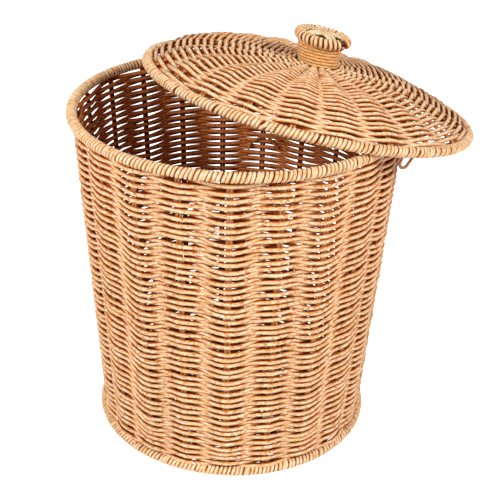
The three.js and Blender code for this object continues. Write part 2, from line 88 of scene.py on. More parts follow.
class Slot(Enum):
    """The record's material slots, one named with each piece."""

    WALL = "wall_cane"
    BASE = "base_cane"
    LID = "lid_cane"
    STAKE = "stake_cane"
    BINDING = "binding_cane"
    LID_BINDING = "lid_binding_cane"
    KNOB = "knob_cane"


def linear(hex_colour: str) -> tuple[float, float, float, float]:
    """Turns an sRGB hex colour into linear values.

    Args:
        hex_colour: Six hex digits after a number sign.

    Returns:
        Red, green, blue and full alpha.
    """
    values = [int(hex_colour[i : i + 2], 16) / 255 for i in (1, 3, 5)]
    shades = [v / 12.92 if v <= 0.04045 else ((v + 0.055) / 1.055) ** 2.4 for v in values]
    return (shades[0], shades[1], shades[2], 1.0)


def add_node(tree: NodeTree, kind: str, settings: dict, links: dict) -> Node:
    """Adds one node with its settings and links.

    Args:
        tree: The shader or geometry tree.
        kind: The node's type name.
        settings: Properties of the node.
        links: Values, sockets or Terms by input name or number.

    Returns:
        The new node.
    """
    node = tree.nodes.new(kind)
    for name, value in settings.items():
        setattr(node, name, value)
    for name, value in links.items():
        source = value.socket if isinstance(value, Term) else value
        if isinstance(source, NodeSocket):
            tree.links.new(source, node.inputs[name])
        else:
            node.inputs[name].default_value = source
    return node


class Term:
    """A number that a geometry tree works out, written with ordinary arithmetic."""

    def __init__(self, tree: NodeTree, socket: NodeSocket) -> None:
        """Keeps the tree and the socket that holds the number."""
        self.tree = tree
        self.socket = socket

    def apply(self, operation: str, *others: "Term | float") -> "Term":
        """Adds a math node that works on this number and others.

        Args:
            operation: What the node does.
            others: The numbers after this one.

        Returns:
            The result.
        """
        links = dict(enumerate((self, *others)))
        node = add_node(self.tree, "ShaderNodeMath", {"operation": operation}, links)
        return Term(self.tree, node.outputs[0])

    def __add__(self, other: "Term | float") -> "Term":
        """Sum."""
        return self.apply("ADD", other)

    __radd__ = __add__

    def __mul__(self, other: "Term | float") -> "Term":
        """Product."""
        return self.apply("MULTIPLY", other)

    def __sub__(self, other: "Term | float") -> "Term":
        """Difference."""
        return self.apply("SUBTRACT", other)

    def __rsub__(self, other: float) -> "Term":
        """Difference from a plain number."""
        return self * -1.0 + other

    def __truediv__(self, other: "Term | float") -> "Term":
        """Quotient."""
        return self.apply("DIVIDE", other)

    def cos(self) -> "Term":
        """Cosine, of radians."""
        return self.apply("COSINE")

    def sin(self) -> "Term":
        """Sine, of radians."""
        return self.apply("SINE")

    def size(self) -> "Term":
        """The number without its sign."""
        return self.apply("ABSOLUTE")

    def rise(self, low: float, high: float) -> "Term":
        """A smooth step between two values of this number.

        Args:
            low: Where the step is 0.
            high: Where the step is 1.

        Returns:
            The step.
        """
        links = {"Value": self, "From Min": low, "From Max": high}
        node = add_node(self.tree, "ShaderNodeMapRange", {"interpolation_type": "SMOOTHSTEP"}, links)
        return Term(self.tree, node.outputs[0])

    def noise(self, seed: "Term | float", rate: float) -> "Term":
        """Smooth random values along this number.

        Args:
            seed: Which row of values.
            rate: How often they change for each step of one.

        Returns:
            Values from about -1 to 1.
        """
        links = {"W": self * rate + seed, "Scale": 1.0, "Detail": 0.0}
        node = add_node(self.tree, "ShaderNodeTexNoise", {"noise_dimensions": "1D"}, links)
        return (Term(self.tree, node.outputs[0]) - 0.5) * NOISE_REACH


@dataclass
class StrandTree:
    """A geometry tree with named inputs that ends in realised, dressed strands.

    Inputs that aren't named as usual are 0 unless a piece gives them.
    """

    name: str
    titles: Sequence[str]
    usual: dict[str, float]
    tree: NodeTree = field(init=False)
    start: Node = field(init=False)

    def __post_init__(self) -> None:
        """Makes the tree, its geometry and material sockets, and its named inputs."""
        self.tree = bpy.data.node_groups.new(self.name, "GeometryNodeTree")
        self.usual = {**dict.fromkeys((*self.titles, *SHADES), 0.0), **self.usual}
        kinds = {float: "NodeSocketFloat", int: "NodeSocketInt"}
        sockets = {"Path": "NodeSocketGeometry", "Finish": "NodeSocketMaterial"}
        sockets |= {title: kinds[type(value)] for title, value in self.usual.items()}
        for title, kind in sockets.items():
            self.tree.interface.new_socket(title, in_out="INPUT", socket_type=kind)
        self.tree.interface.new_socket("Strands", in_out="OUTPUT", socket_type="NodeSocketGeometry")
        self.start = self.add("NodeGroupInput", {}, {})

    def add(self, kind: str, settings: dict, links: dict) -> Node:
        """Adds a node to this tree."""
        return add_node(self.tree, kind, settings, links)

    def given(self, title: str) -> Term:
        """The value of a named input."""
        return Term(self.tree, self.start.outputs[title])

    def index(self) -> Term:
        """The number of each point along its line."""
        return Term(self.tree, self.add("GeometryNodeInputIndex", {}, {}).outputs[0])

    def vector(self, x: "Term | float", y: "Term | float", z: "Term | float") -> NodeSocket:
        """A vector from three numbers."""
        return self.add("ShaderNodeCombineXYZ", {}, {"X": x, "Y": y, "Z": z}).outputs[0]

    def parts(self, vector: NodeSocket) -> list[Term]:
        """The three numbers of a vector."""
        parts = self.add("ShaderNodeSeparateXYZ", {}, {"Vector": vector}).outputs
        return [Term(self.tree, part) for part in parts]

    def about(self, radius: Term, turn: Term, height: Term) -> NodeSocket:
        """A vector from its radius, its turn about the axis and its height."""
        return self.vector(radius * turn.cos(), radius * turn.sin(), height)

    def path_curve(self) -> NodeSocket:
        """The given path as a curve."""
        return self.add("GeometryNodeMeshToCurve", {}, {"Mesh": self.start.outputs["Path"]}).outputs[0]

    def line(self, count: Term) -> NodeSocket:
        """A curve of so many points, which are placed afterwards."""
        points = self.add("GeometryNodeMeshLine", {}, {"Count": count})
        return self.add("GeometryNodeMeshToCurve", {}, {"Mesh": points.outputs[0]}).outputs[0]

    def skin(
        self,
        curve: NodeSocket,
        normal: NodeSocket | None,
        scale: "Term | float",
        run: "Term | float",
        sides: int,
        swing: "Term | float" = 1.0,
    ) -> None:
        """Gives a line its oval section and its finish, and ends the tree.

        Args:
            curve: The line.
            normal: Which way the strand's depth points, or None for the least twist.
            scale: Thickness along the strand, 1 for its full size.
            run: Length along the strand in metres, for the grain of its finish.
            sides: Faces round the section.
            swing: 1 where the strand passes outside a stake and -1 where it passes inside it.
        """
        add = self.add
        number = {"data_type": "FLOAT", "domain": "POINT"}
        direction = {"data_type": "FLOAT_VECTOR", "domain": "POINT"}
        if normal is not None:
            free = add("GeometryNodeSetCurveNormal", {"mode": "FREE"}, {"Curve": curve, "Normal": normal})
            curve = free.outputs[0]
        for name, value in ((STRAND_RUN, run), (STRAND_SWING, swing)):
            links = {"Geometry": curve, "Name": name, "Value": value}
            curve = add("GeometryNodeStoreNamedAttribute", number, links).outputs[0]
        ring = add("GeometryNodeCurvePrimitiveCircle", {}, {"Resolution": sides, "Radius": 0.5})
        place = add("GeometryNodeInputPosition", {}, {})
        links = {"Geometry": ring.outputs[0], "Name": STRAND_SIDE, "Value": place.outputs[0]}
        sided = add("GeometryNodeStoreNamedAttribute", direction, links)
        section = self.vector(self.given("Depth"), self.given("Width"), 1.0)
        oval = add("GeometryNodeTransform", {}, {"Geometry": sided.outputs[0], "Scale": section})
        links = {"Curve": curve, "Profile Curve": oval.outputs[0], "Scale": scale, "Fill Caps": True}
        swept = add("GeometryNodeCurveToMesh", {}, links)
        # Each point keeps its painted shade, which the cane finish turns into darker colour.
        links = {"Geometry": swept.outputs[0], "Name": STRAND_SHADE, "Value": self.shade()}
        shaded = add("GeometryNodeStoreNamedAttribute", number, links)
        smooth = add("GeometryNodeSetShadeSmooth", {}, {"Geometry": shaded.outputs[0]})
        real = add("GeometryNodeRealizeInstances", {}, {"Geometry": smooth.outputs[0]})
        links = {"Geometry": real.outputs[0], "Material": self.start.outputs["Finish"]}
        dressed = add("GeometryNodeSetMaterial", {}, links)
        add("NodeGroupOutput", {}, {"Strands": dressed.outputs[0]})

    def shade(self) -> Term:
        """Painted shade on a strand: most where it touches its neighbours, where it is tucked in and on its
        inner side.

        Returns:
            0 on the crown of a strand, 1 in a seam.
        """
        vector, number = {"data_type": "FLOAT_VECTOR"}, {"data_type": "FLOAT"}
        side = self.add("GeometryNodeInputNamedAttribute", vector, {"Name": STRAND_SIDE})
        swing = self.add("GeometryNodeInputNamedAttribute", number, {"Name": STRAND_SWING})
        out, across, _ = self.parts(side.outputs[0])
        laid = Term(self.tree, swing.outputs[0])
        # Where it passes a stake, a strand stands clear of its neighbours, so its seams get less painted
        # shade.
        pressed = 1.0 - laid.size() * 0.35
        # Painted shade in the crevices where a strand meets its neighbours.
        seam = across.size().rise(0.28, 0.51) * pressed * self.given("Seam")
        # Painted shade on the face that is tucked in behind a stake.
        tucked = (laid * out * -2.0).rise(0.15, 0.8) * self.given("Tuck")
        # Painted shade on the inner side, for the shade inside the basket and under the lid.
        inside = (out * self.given("Inner Side")).rise(-0.15, 0.35) * self.given("Inside")
        return 1.0 - (1.0 - seam) * (1.0 - tucked) * (1.0 - inside)

    def run_on(
        self,
        name: str,
        path: Sequence[Vector],
        finish: Material,
        values: dict[str, float],
    ) -> Object:
        """Runs the tree on a line and keeps the result as a plain mesh.

        Args:
            name: The piece's name.
            path: Points in metres.
            finish: The strand's material.
            values: Values by input name, with lengths in millimetres.

        Returns:
            The finished object, at the origin.
        """
        mesh = bpy.data.meshes.new(name)
        mesh.from_pydata([tuple(p) for p in path], [(i, i + 1) for i in range(len(path) - 1)], [])
        piece = bpy.data.objects.new(name, mesh)
        modifier = piece.modifiers.new(self.name, "NODES")
        modifier.node_group = self.tree
        given = {"Finish": finish, **self.usual, **values}
        for item in self.tree.interface.items_tree:
            if item.in_out == "INPUT" and item.name in given:
                value = given[item.name]
                modifier[item.identifier] = value * MM if item.name in LENGTHS else value
        bpy.context.scene.collection.objects.link(piece)
        made = bpy.data.meshes.new_from_object(piece.evaluated_get(bpy.context.evaluated_depsgraph_get()))
        piece.modifiers.remove(modifier)
        piece.data = made
        made.name = name
        return piece


def weave_tree() -> StrandTree:
    """One weaver that goes round and round, over one stake and under the next.

    Its path is the middle line of the wall, from the first row to the last. The strand swings to
    either side of it at each stake, and because the stakes are odd in number it changes side on
    every round.

    Returns:
        The tree.
    """
    titles = ["Pitch", "First Row", "Rows", "All Rows", "Stakes", "Steps", "Start Angle", "Swing"]
    titles += ["Swing Spread", "Gather", "Bunch", "Droop", "Waver", "Squeeze", "Width", "Depth", "Seed"]
    made = StrandTree("weaver", titles, {"All Rows": ENDLESS, "Stakes": float(STAKES), "Steps": 12.0})
    given = made.given
    stakes, steps, seed = given("Stakes"), given("Steps"), given("Seed")
    curve = made.line(given("Rows") * stakes * steps + 1.0)
    passed = made.index() / steps + given("First Row") * stakes
    row = passed / stakes
    left = given("All Rows") - row
    turn = row * FULL_TURN + given("Start Angle")
    swing = (passed * math.pi).cos()
    fullness = swing.size()
    straight = (swing * STRAIGHTNESS).apply("ARCSINE") / math.asin(STRAIGHTNESS)
    arched = swing.apply("SIGN") * fullness.apply("POWER", 0.5)
    stake_number = (passed + 0.5).apply("FLOOR").apply("FLOORED_MODULO", stakes)
    stake_mood = stake_number.noise(seed + 40.0, 7.31)
    # The rows have the most slack at the front of the basket.
    slack = 0.65 - turn.sin() * 0.35
    # Rows droop after every other stake and rise a little after the rest, less so near rim and foot.
    sag = 1.0 - (1.0 - fullness).apply("POWER", 1.5)
    uneven = stake_number.apply("FLOORED_MODULO", 2.0) * 2.1 + stake_mood * 0.2 - 0.45
    droop = given("Droop") * slack * uneven * sag * row.rise(0.0, 12.0) * left.rise(-6.0, 16.0)
    # Rows crowd together and part again in patches a stake or two wide and three rows high.
    cell = made.vector(turn.cos() * 2.4, turn.sin() * 2.4, row * 0.33)
    patch = made.add("ShaderNodeTexNoise", {}, {"Vector": cell, "Scale": 1.0, "Detail": 0.0})
    bunched = (Term(made.tree, patch.outputs[0]) - 0.5) * NOISE_REACH * given("Bunch") * slack
    bunch = bunched * row.rise(0.0, 5.0) * left.rise(-1.0, 5.0)
    # Over the last nine rows before the rim, the wavering grows to nearly twice as much.
    loose_top = 1.0 + (1.0 - left.rise(0.0, 9.0)) * 0.9
    waver = passed.noise(seed, 0.61) * given("Waver") * loose_top
    # The lid's rows lie closer towards its knob.
    even = (row - given("Gather") * row / (row + 9.0)) * given("Pitch")
    line = made.path_curve()

    def sampled(length: Term | float) -> Node:
        """The path's middle line at a length along it."""
        return made.add("GeometryNodeSampleCurve", {"mode": "LENGTH"}, {"Curves": line, "Length": length})

    inner, outer = (made.parts(sampled(length).outputs["Position"])[0] for length in (0.0, even))
    sample = sampled(even + waver + bunch - droop)
    reach, _, level = made.parts(sample.outputs["Position"])
    slope, _, normal_r = made.parts(sample.outputs["Tangent"])
    normal_z = slope * -1.0
    # Near the middle of lid and base, where stakes are close, the strand arches over them.
    crowded = 1.0 - reach.rise(22 * MM, 75 * MM)
    share = straight + (arched - straight) * crowded
    loose = passed.noise(seed + 90.0, 0.83) * 0.16 + 1.0
    offset = share * given("Swing") * loose + stake_mood * given("Swing Spread") * fullness
    place = made.about(reach + offset * normal_r, turn, level + offset * normal_z)
    laid = made.add("GeometryNodeSetPosition", {}, {"Geometry": curve, "Position": place})
    thick = passed.noise(seed + 17.0, 0.37) * 0.05 + 1.0
    scale = thick * (1.0 - given("Squeeze") * (1.0 - fullness))
    run = turn * (inner + outer) * 0.5
    made.skin(laid.outputs[0], made.about(normal_r, turn, normal_z), scale, run, 8, share)
    return made


def winding_tree() -> StrandTree:
    """One strand wound closely round a hoop, with turns that open or crowd a little once for each stake.

    Returns:
        The tree.
    """
    titles = ["Hoop Radius", "Hoop Height", "Coil Radius", "Turns", "Steps", "Stakes", "Start Angle", "Arc"]
    titles += ["Opening", "Waver", "Lift", "Lean", "Width", "Depth", "Seed"]
    made = StrandTree("winding", titles, {"Steps": 16.0, "Stakes": float(STAKES), "Arc": FULL_TURN})
    given = made.given
    turns, steps, seed, hoop = given("Turns"), given("Steps"), given("Seed"), given("Hoop Radius")
    curve = made.line(turns * steps)
    turn = made.index() / steps
    wind = turn * FULL_TURN
    share = turn / turns
    # The turns shift evenly along the hoop, and jump back by the opening once for each stake.
    phase = (share * given("Stakes") + 0.5).apply("FRACT") - 0.5
    opened = phase.apply("SIGN") * (0.5 - phase.size()) * -1.0 * given("Opening")
    arc = (opened + turn.noise(seed, 0.9) * given("Waver") + wind.sin() * given("Lean")) / hoop
    around = share * given("Arc") + arc + given("Start Angle")
    reach = given("Coil Radius") * (turn.noise(seed + 31.0, 0.7) * given("Lift") + 1.0)
    place = made.about(hoop + reach * wind.cos(), around, given("Hoop Height") + reach * wind.sin())
    laid = made.add("GeometryNodeSetPosition", {}, {"Geometry": curve, "Position": place})
    normal = made.about(wind.cos(), around, wind.sin())
    scale = turn.noise(seed + 57.0, 0.45) * 0.06 + 1.0
    made.skin(laid.outputs[0], normal, scale, given("Coil Radius") * wind, 8, 0.0)
    return made


def strand_tree(name: str, faced: bool) -> StrandTree:
    """Strands that follow a given line, repeated round the axis.

    Args:
        name: The tree's name.
        faced: Whether each strand knows its outer side, away from the axis or down, as a stake does.

    Returns:
        The tree.
    """
    titles = ("Copies", "Start Angle", "Stray", "Waver", "Width", "Depth", "Seed")
    made = StrandTree(name, titles, {"Copies": 1})
    add, seed, copies = made.add, made.given("Seed"), made.given("Copies")
    points = add("GeometryNodeMeshLine", {}, {"Count": copies, "Offset": (0.0, 0.0, 0.0)})
    number = made.index()
    turn = number * FULL_TURN / copies + made.given("Start Angle")
    strayed = turn + number.noise(seed, 3.7) * made.given("Stray")
    turned = add("FunctionNodeEulerToRotation", {}, {"Euler": made.vector(0.0, 0.0, strayed)})
    links = {"Points": points.outputs[0], "Instance": made.path_curve(), "Rotation": turned.outputs[0]}
    many = add("GeometryNodeInstanceOnPoints", {}, links)
    real = add("GeometryNodeRealizeInstances", {}, {"Geometry": many.outputs[0]})
    length = made.index()
    shift = [length.noise(seed + own, 0.45) * made.given("Waver") for own in (5.0, 65.0, 125.0)]
    laid = add("GeometryNodeSetPosition", {}, {"Geometry": real.outputs[0], "Offset": made.vector(*shift)})
    thick = length.noise(seed + 200.0, 0.21) * 0.04 + 1.0
    # The grain takes the points as 4 mm apart.
    made.skin(laid.outputs[0], outer_side(made) if faced else None, thick, length * (4 * MM), 10)
    return made


def outer_side(made: StrandTree) -> NodeSocket:
    """The direction across a stake that points away from the axis on a wall and down on a flat.

    Args:
        made: The tree of the stakes.

    Returns:
        The direction at each point.
    """
    add = made.add
    place = add("GeometryNodeInputPosition", {}, {})
    tangent = add("GeometryNodeInputTangent", {}, {}).outputs[0]
    level = add("ShaderNodeVectorMath", {"operation": "MULTIPLY"}, {0: place.outputs[0], 1: (1.0, 1.0, 0.0)})
    radial = add("ShaderNodeVectorMath", {"operation": "NORMALIZE"}, {0: level.outputs[0]}).outputs[0]
    product = add("ShaderNodeVectorMath", {"operation": "DOT_PRODUCT"}, {0: radial, 1: tangent})
    outward = Term(made.tree, product.outputs["Value"])
    upward = made.parts(tangent)[2]
    sign = (outward + upward).apply("SIGN")
    across = add("ShaderNodeVectorMath", {"operation": "SCALE"}, {0: radial, "Scale": upward * sign})
    links = {0: across.outputs[0], 1: made.vector(0.0, 0.0, outward * sign * -1.0)}
    return add("ShaderNodeVectorMath", {"operation": "ADD"}, links).outputs[0]


def new_material(name: str) -> tuple[Material, Callable[..., Node]]:
    """Makes an empty node material.

    Args:
        name: The material's name.

    Returns:
        The material, and the function that adds a node to it.
    """
    made = bpy.data.materials.new(name)
    made.use_nodes = True
    made.node_tree.nodes.clear()
    return made, partial(add_node, made.node_tree)


def fill_ramp(node: Node, stops: dict[float, str]) -> None:
    """Sets the colours of a colour ramp.

    Args:
        node: The ramp's node.
        stops: Hex colours by position, in rising order.
    """
    elements = node.color_ramp.elements
    for element, position in zip(elements, (min(stops), max(stops))):
        element.position = position
        element.color = linear(stops[position])
    for position in list(stops)[1:-1]:
        elements.new(position).color = linear(stops[position])


@dataclass(frozen=True)
class CaneFinish:
    """Extruded plastic cane made to look like peeled rattan: satin, finely ribbed and mottled.

    The dye is uneven, so that amber and honey flecks a few millimetres long run with the strand, and
    the outside has a low satin shine.
    """

    name: str
    light: str
    middle: str
    amber: str
    rough: float = 0.36
    rough_spread: float = 0.08
    # Colours of the painted shade: half way into a seam, and in full shade.
    edge: str = "#da8f54"
    seam: str = "#882205"
    gloss: str = "#ffd2a0"
    strand_mm: float = 3.2
    fleck_mm: float = 1.6
    fleck_shortening: float = 0.5
    rib_mm: float = 0.5
    rib_shortening: float = 0.16
    patch_mm: float = 14.0
    rib_depth: float = 0.25

    def build(self) -> Material:
        """Makes the material.

        Returns:
            The node material.
        """
        made, add = new_material(self.name)
        run = add("ShaderNodeAttribute", {"attribute_name": STRAND_RUN}, {})
        side = add("ShaderNodeAttribute", {"attribute_name": STRAND_SIDE}, {})
        section = (self.strand_mm * MM, self.strand_mm * MM, 0.0)
        links = {0: side.outputs["Vector"], 1: section}
        spread = add("ShaderNodeVectorMath", {"operation": "MULTIPLY"}, links)

        def drawn_out(share: float) -> NodeSocket:
            """Coordinates on the strand, with its length shortened so that a pattern runs with it.

            Args:
                share: Shortened length for each of real length.

            Returns:
                The coordinates, in metres.
            """
            drawn = add("ShaderNodeMath", {"operation": "MULTIPLY"}, {0: run.outputs["Fac"], 1: share})
            along = add("ShaderNodeCombineXYZ", {}, {"Z": drawn.outputs[0]})
            links = {0: spread.outputs[0], 1: along.outputs[0]}
            return add("ShaderNodeVectorMath", {"operation": "ADD"}, links).outputs[0]

        where = add("ShaderNodeTexCoord", {}, {})
        links = {"Vector": drawn_out(self.fleck_shortening), "Scale": 1 / (self.fleck_mm * MM)}
        links |= {"Detail": 4.0, "Roughness": 0.72}
        flecks = add("ShaderNodeTexNoise", {}, links).outputs["Fac"]
        links = {"Vector": drawn_out(self.rib_shortening), "Scale": 1 / (self.rib_mm * MM)}
        links |= {"Detail": 2.0, "Roughness": 0.55}
        streaks = add("ShaderNodeTexNoise", {}, links).outputs["Fac"]
        links = {"Vector": where.outputs["Object"], "Scale": 1 / (self.patch_mm * MM), "Detail": 1.0}
        patches = add("ShaderNodeTexNoise", {}, links).outputs["Fac"]
        tone = add("ShaderNodeValToRGB", {}, {"Fac": flecks})
        fill_ramp(tone, {0.4: self.amber, 0.48: self.middle, 0.6: self.light})
        wide = add("ShaderNodeMapRange", {}, {"Value": patches, "From Min": 0.35, "From Max": 0.65})
        evened = add("ShaderNodeMath", {"operation": "MULTIPLY"}, {0: wide.outputs[0], 1: 0.5})
        links = {0: evened.outputs[0], 6: tone.outputs["Color"], 7: linear(self.middle)}
        warm = add("ShaderNodeMix", {"data_type": "RGBA", "blend_type": "MIX"}, links)
        links = {"Value": streaks, "From Min": 0.3, "From Max": 0.7, "To Min": 0.82, "To Max": 1.06}
        fine = add("ShaderNodeMapRange", {}, links)
        links = {0: warm.outputs[2], "Scale": fine.outputs[0]}
        shade = add("ShaderNodeVectorMath", {"operation": "SCALE"}, links)
        # The painted shade darkens and reddens the cane's colour through this ramp.
        depth = add("ShaderNodeAttribute", {"attribute_name": STRAND_SHADE}, {})
        shade_ramp = add("ShaderNodeValToRGB", {}, {"Fac": depth.outputs["Fac"]})
        fill_ramp(shade_ramp, {0.0: "#ffffff", 0.45: self.edge, 1.0: self.seam})
        links = {0: shade.outputs[0], 1: shade_ramp.outputs["Color"]}
        shade_painted = add("ShaderNodeVectorMath", {"operation": "MULTIPLY"}, links)
        dull, satin = self.rough + self.rough_spread, self.rough - self.rough_spread
        links = {"Value": flecks, "From Min": 0.3, "From Max": 0.7, "To Min": dull, "To Max": satin}
        polish = add("ShaderNodeMapRange", {}, links)
        # Roughness rises with the painted shade.
        links = {0: depth.outputs["Fac"], 1: 0.4, 2: polish.outputs[0]}
        worn = add("ShaderNodeMath", {"operation": "MULTIPLY_ADD", "use_clamp": True}, links)
        links = {"Height": streaks, "Strength": self.rib_depth, "Distance": 0.15 * MM}
        ribs = add("ShaderNodeBump", {}, links)
        links = {"Base Color": shade_painted.outputs[0], "Roughness": worn.outputs[0], "Normal": ribs.outputs[0]}
        links |= {"IOR": 1.5, "Specular IOR Level": 0.14, "Specular Tint": linear(self.gloss)}
        shader = add("ShaderNodeBsdfPrincipled", {}, links)
        add("ShaderNodeOutputMaterial", {}, {"Surface": shader.outputs[0]})
        return made


@dataclass(frozen=True)
class WireFinish:
    """Drawn steel wire: grey, with fine lines from the die and a dull shine."""

    name: str = "drawn_steel_wire"
    bright: str = "#9a9a98"
    dull: str = "#6e6c69"
    line_mm: float = 0.6

    def build(self) -> Material:
        """Makes the material.

        Returns:
            The node material.
        """
        made, add = new_material(self.name)
        where = add("ShaderNodeTexCoord", {}, {})
        links = {"Vector": where.outputs["Object"], "Scale": 1 / (self.line_mm * MM), "Detail": 3.0}
        lines = add("ShaderNodeTexNoise", {}, links).outputs["Fac"]
        tone = add("ShaderNodeValToRGB", {}, {"Fac": lines})
        fill_ramp(tone, {0.0: self.dull, 1.0: self.bright})
        rough = add("ShaderNodeMapRange", {}, {"Value": lines, "To Min": 0.3, "To Max": 0.5})
        links = {"Base Color": tone.outputs["Color"], "Metallic": 1.0, "Roughness": rough.outputs[0]}
        shader = add("ShaderNodeBsdfPrincipled", {}, links)
        add("ShaderNodeOutputMaterial", {}, {"Surface": shader.outputs[0]})
        return made


@dataclass
class Trees:
    """The four ways that a strand is laid."""

    weaver: StrandTree = field(default_factory=weave_tree)
    winding: StrandTree = field(default_factory=winding_tree)
    strand: StrandTree = field(default_factory=lambda: strand_tree("strand", faced=False))
    stake: StrandTree = field(default_factory=lambda: strand_tree("stake", faced=True))

    def single(
        self,
        name: str,
        path: Sequence[Vector],
        finish: Material,
        width: float,
        depth: float,
        seed: float,
    ) -> Object:
        """Lays one strand along a path.

        Args:
            name: The piece's name.
            path: Points in metres.
            finish: The strand's material.
            width: Across the strand, in millimetres.
            depth: Through the strand, in millimetres.
            seed: For its small unevenness.

        Returns:
            The finished object, at the origin.
        """
        return self.strand.run_on(name, path, finish, {"Width": width, "Depth": depth, "Seed": seed})


def made_of(finish: CaneFinish | WireFinish) -> Material:
    """A field whose material is built with the palette."""
    return field(default_factory=finish.build)


@dataclass
class Palette:
    """The finishes, one material for each."""

    wall: Material = made_of(CaneFinish("woven_honey_cane", "#fff6de", "#efca94", "#c97e3a"))
    lid: Material = made_of(CaneFinish("woven_lid_cane", "#fffbe6", "#f5d9a8", "#d7964c"))
    binding: Material = made_of(CaneFinish("wound_honey_cane", "#fefae2", "#f3d5a4", "#d59a54"))
    stake: Material = made_of(CaneFinish("doubled_stake_cane", "#e9b078", "#d38d52", "#ae6029"))
    # A dark cane for the knob's post, the bare core of its ring and the lowest strands of its top: painted
    # shade of the knob's hollows.
    post: Material = made_of(CaneFinish("cane_ends_painted_shade", "#6a3414", "#4a200a", "#2e1004", 0.8))
    # A darker, redder cane for the weavers' ends on the inside of the wall: painted shade of the basket's
    # inside.
    loose: Material = made_of(CaneFinish("loose_cane_end", "#d98a4c", "#b9642e", "#95461a"))
    neck: Material = made_of(CaneFinish("knob_neck_cane", "#f4d7a3", "#e9b775", "#d08438"))
    # A darker cane for the loop under the lid's edge: painted shade of the lid's overhang.
    loop: Material = made_of(CaneFinish("cane_loop_painted_shade", "#c29478", "#9c6a4c", "#74442a"))
    wire: Material = made_of(WireFinish())


def cad_points(node: str) -> np.ndarray:
    """The corners of a CAD node, one row for each."""
    return np.array([v.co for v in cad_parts[node].data.vertices])


def in_metres(points: Iterable[Sequence[float]]) -> list[Vector]:
    """Vectors in metres from points in millimetres."""
    return [Vector(point) * MM for point in points]


def upright(line: Iterable[Sequence[float]]) -> list[Vector]:
    """A path in metres in the plane of the X axis, from radius and height in millimetres."""
    return in_metres((radius, 0, height) for radius, height in line)


def length_of(path: Sequence[Vector]) -> float:
    """Length of a path in millimetres."""
    return sum((b - a).length for a, b in zip(path, path[1:])) / MM


@dataclass
class RingPose:
    """Where a flat ring of the CAD lies: its middle, and a frame whose Z is its own axis."""

    node: str
    mark: str
    matrix: Matrix = field(init=False)

    def __post_init__(self) -> None:
        """Fits the ring's plane, and turns the frame so that the marked node lies on its X axis."""
        points = cad_points(self.node)
        middle = points.mean(axis=0)
        normal = Vector(np.linalg.svd(points - middle)[2][2])
        normal *= math.copysign(1.0, normal.z)
        outwards = Vector(cad_points(self.mark).mean(axis=0) - middle)
        outwards -= normal * outwards.dot(normal)
        outwards.normalize()
        aside = normal.cross(outwards)
        turned = Matrix((outwards, aside, normal)).transposed().to_4x4()
        self.matrix = Matrix.Translation(Vector(middle)) @ turned


def finish_piece(
    piece: Object,
    body: Body,
    slot: Slot,
    replaced: Sequence[str],
    matrix: Matrix | None = None,
) -> None:
    """Puts a piece in place and ties it to the CAD.

    Args:
        piece: The finished mesh.
        body: The body that it rides on.
        slot: The record's slot of its finish; not used.
        replaced: CAD nodes that it stands for.
        matrix: Where its own frame lies, or None for the basket's.
    """
    if matrix is not None:
        piece.data.transform(matrix)
    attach(piece, body.value)
    if replaced:
        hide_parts(*replaced)
    log.info("%s: %d faces, on %s", piece.name, len(piece.data.polygons), body.value)


def numbered(stem: str) -> list[str]:
    """The names of a set of stakes."""
    return [f"{stem}_{number:02d}" for number in range(1, STAKES + 1)]


def doubled(line: Sequence[tuple[float, float]], spacing: float, splay: float) -> list[Vector]:
    """The path of a doubled stake: in along one leg, round a bend at the middle, and out again.

    Args:
        line: Radius and height of each point of a leg, from the inner end, in millimetres.
        spacing: Centre to centre of the two legs.
        splay: How much further each leg stands aside at its tip.

    Returns:
        Points in metres.
    """
    half = spacing / 2
    leg = [(radius, half, height) for radius, height in line]
    leg[-1] = (line[-1][0], half + splay, line[-1][1])
    back = [(radius, -aside, height) for radius, aside, height in leg]
    inner, height = line[0]
    turns = [math.radians(degrees) for degrees in (112, 135, 158, 180, 202, 225, 248)]
    bend = [(inner + half * math.cos(turn), half * math.sin(turn), height) for turn in turns]
    return in_metres([*reversed(leg), *bend, *back])


